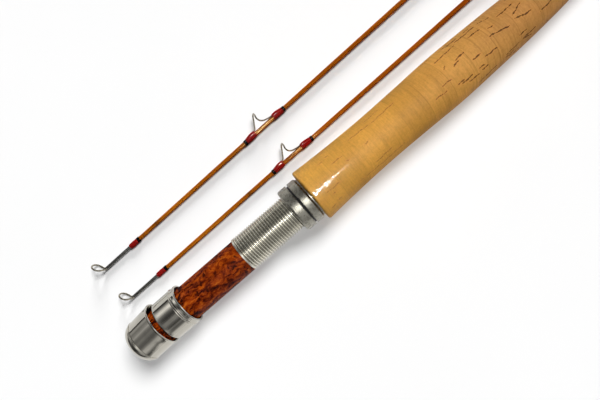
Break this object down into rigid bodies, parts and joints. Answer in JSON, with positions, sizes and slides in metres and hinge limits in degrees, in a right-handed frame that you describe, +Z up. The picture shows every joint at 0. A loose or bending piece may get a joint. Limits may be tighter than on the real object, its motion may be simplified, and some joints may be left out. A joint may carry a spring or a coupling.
{
  "type": "fly rod",
  "caption": "Split-cane fly rod laid out in sections, with cork grip, screw-locking reel seat, snake guides and a spare tip.",
  "frame": {"origin": "centre of the flat end face of the butt cap, on the butt section's axis", "axes": "+X along the rod from the butt cap towards the ferrule, +Y across the rods towards the two tip sections, +Z up from the table they lie on"},
  "size_m": [1.1551, 0.0814, 0.0267],
  "materials": {
    "nickel_silver": "polished",
    "black_ring": "satin",
    "burl_wood": "glossy varnish",
    "cork": "sealed, satin to glossy",
    "bamboo_cane": "glossy varnish",
    "red_silk": "varnished",
    "black_silk": "varnished",
    "guide_wire": "polished wire",
    "tiptop_steel": "polished",
    "agate": "polished stone"
  },
  "bodies": {
    "butt_section": {"butt_cane": "bamboo_cane", "butt_cap": "nickel_silver", "butt_silk_wraps": "red_silk", "butt_snake_guide_1": "guide_wire", "butt_snake_guide_2": "guide_wire", "butt_tipping": "black_silk", "cork_ring_01": "cork", "cork_ring_02": "cork", "cork_ring_03": "cork", "cork_ring_04": "cork", "cork_ring_05": "cork", "cork_ring_06": "cork", "cork_ring_07": "cork", "cork_ring_08": "cork", "cork_ring_09": "cork", "cork_ring_10": "cork", "cork_ring_11": "cork", "cork_ring_12": "cork", "cork_ring_13": "cork", "cork_ring_14": "cork", "female_ferrule": "nickel_silver", "hook_keeper": "guide_wire", "reel_seat_filler": "burl_wood", "stripping_guide_frame": "guide_wire", "stripping_guide_ring": "agate", "threaded_barrel": "nickel_silver", "winding_check": "nickel_silver"},
    "sliding_hood": {"sliding_hood": "nickel_silver"},
    "nut_ring": {"nut_ring": "black_ring"},
    "lock_nut_lower": {"lock_nut_lower": "nickel_silver"},
    "lock_nut_upper": {"lock_nut_upper": "nickel_silver"},
    "tip_a": {"male_ferrule_a": "nickel_silver", "silk_wraps_a": "red_silk", "snake_guide_1_a": "guide_wire", "snake_guide_2_a": "guide_wire", "snake_guide_3_a": "guide_wire", "snake_guide_4_a": "guide_wire", "snake_guide_5_a": "guide_wire", "snake_guide_6_a": "guide_wire", "snake_guide_7_a": "guide_wire", "tip_cane_a": "bamboo_cane", "tipping_a": "black_silk", "tiptop_loop_a": "guide_wire", "tiptop_tube_a": "tiptop_steel"},
    "tip_b": {"male_ferrule_b": "nickel_silver", "silk_wraps_b": "red_silk", "snake_guide_1_b": "guide_wire", "snake_guide_2_b": "guide_wire", "snake_guide_3_b": "guide_wire", "snake_guide_4_b": "guide_wire", "snake_guide_5_b": "guide_wire", "snake_guide_6_b": "guide_wire", "snake_guide_7_b": "guide_wire", "tip_cane_b": "bamboo_cane", "tipping_b": "black_silk", "tiptop_loop_b": "guide_wire", "tiptop_tube_b": "tiptop_steel"}
  },
  "joints": [
    {"name": "hood_slide", "type": "slide", "parent": "butt_section", "child": "sliding_hood", "axis": [1, 0, -0.009], "range_m": [-0.0016, 0.046]},
    {"name": "nut_run", "type": "slide", "parent": "butt_section", "child": "nut_ring", "axis": [1, 0, -0.009], "range_m": [-0.0159, 0]},
    {"name": "nut_turn_lower", "type": "hinge", "parent": "nut_ring", "child": "lock_nut_lower", "pos_m": [0, 0, 0], "axis": [1, 0, -0.009], "range_deg": [-4500, 0]},
    {"name": "nut_turn_upper", "type": "hinge", "parent": "nut_ring", "child": "lock_nut_upper", "pos_m": [0, 0, 0], "axis": [1, 0, -0.009], "range_deg": [-4500, 0]},
    {"name": "tip_a_lift", "type": "slide", "parent": "butt_section", "child": "tip_a", "axis": [0, 0, 1], "range_m": [0, 0.15]},
    {"name": "tip_b_lift", "type": "slide", "parent": "butt_section", "child": "tip_b", "axis": [0, 0, 1], "range_m": [0, 0.15]}
  ],
  "couplings": [
    {"joint": "nut_run", "follows": "nut_turn_lower", "m_per_rad": 0.00020213},
    {"joint": "nut_turn_upper", "follows": "nut_turn_lower", "ratio": 1}
  ]
}
